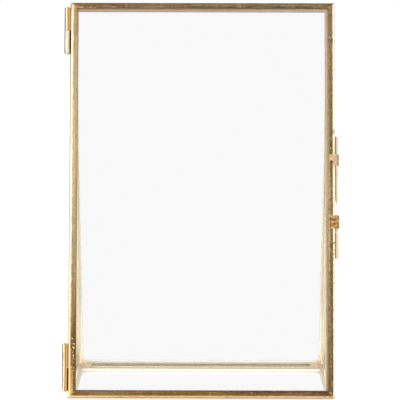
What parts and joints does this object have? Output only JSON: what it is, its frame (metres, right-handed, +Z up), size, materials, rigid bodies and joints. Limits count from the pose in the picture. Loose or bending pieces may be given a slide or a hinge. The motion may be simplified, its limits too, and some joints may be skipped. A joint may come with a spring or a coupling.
{
  "type": "desktop photo frame",
  "caption": "Free-standing wedge-shaped brass and clear glass photo frame with a side-hinged glass door held by a sliding bolt.",
  "frame": {"origin": "middle of the underside of the front base rail, on the plane the frame stands on", "axes": "+Z up, -Y towards the viewer in front of the door, +X to the viewer's right, so the hinges are on -X and the bolt on +X"},
  "size_m": [0.1086, 0.0605, 0.1539],
  "materials": {
    "door_brass": "handmade, satin with brown patina and pale worn edges",
    "case_brass": "handmade, satin",
    "hinge_brass": "drawn tube, polished",
    "solder": "brazing solder, rounded and uneven",
    "glass": "clear picture glass"
  },
  "bodies": {
    "case": {"front_stile_left": "case_brass", "front_stile_right": "case_brass", "front_rail_top": "case_brass", "front_rail_bottom": "case_brass", "front_glass": "glass", "back_stile_left": "case_brass", "back_stile_right": "case_brass", "back_rail_top": "case_brass", "back_rail_bottom": "case_brass", "back_glass": "glass", "base_rail_left": "case_brass", "base_rail_right": "case_brass", "base_rail_front": "case_brass", "base_rail_back": "case_brass", "base_glass": "glass", "left_side_front_edge": "case_brass", "left_side_back_edge": "case_brass", "left_side_foot": "case_brass", "left_side_glass": "glass", "right_side_front_edge": "case_brass", "right_side_back_edge": "case_brass", "right_side_foot": "case_brass", "right_side_glass": "glass", "ridge_solder": "solder", "corner_solder_left": "solder", "corner_solder_right": "solder", "upper_hinge_case_knuckle": "hinge_brass", "upper_hinge_pin": "hinge_brass", "lower_hinge_case_knuckle": "hinge_brass", "lower_hinge_pin": "hinge_brass", "bolt_keeper": "hinge_brass"},
    "door": {"door_stile_left": "door_brass", "door_stile_right": "door_brass", "door_rail_top": "door_brass", "door_rail_bottom": "door_brass", "door_glass": "glass", "upper_hinge_door_knuckle": "hinge_brass", "lower_hinge_door_knuckle": "hinge_brass", "bolt_guide": "hinge_brass", "guide_saddle": "solder", "bolt_eye": "hinge_brass", "eye_saddle": "solder"},
    "bolt": {"latch_bolt": "hinge_brass"}
  },
  "joints": [
    {"name": "door_swing", "type": "hinge", "parent": "case", "child": "door", "pos_m": [-0.05291, -0.00493, 0.00012], "axis": [0, -0.1736, -0.9848], "range_deg": [0, 180]},
    {"name": "bolt_slide", "type": "slide", "parent": "door", "child": "bolt", "axis": [0, -0.1736, -0.9848], "range_m": [0, 0.0135]}
  ]
}
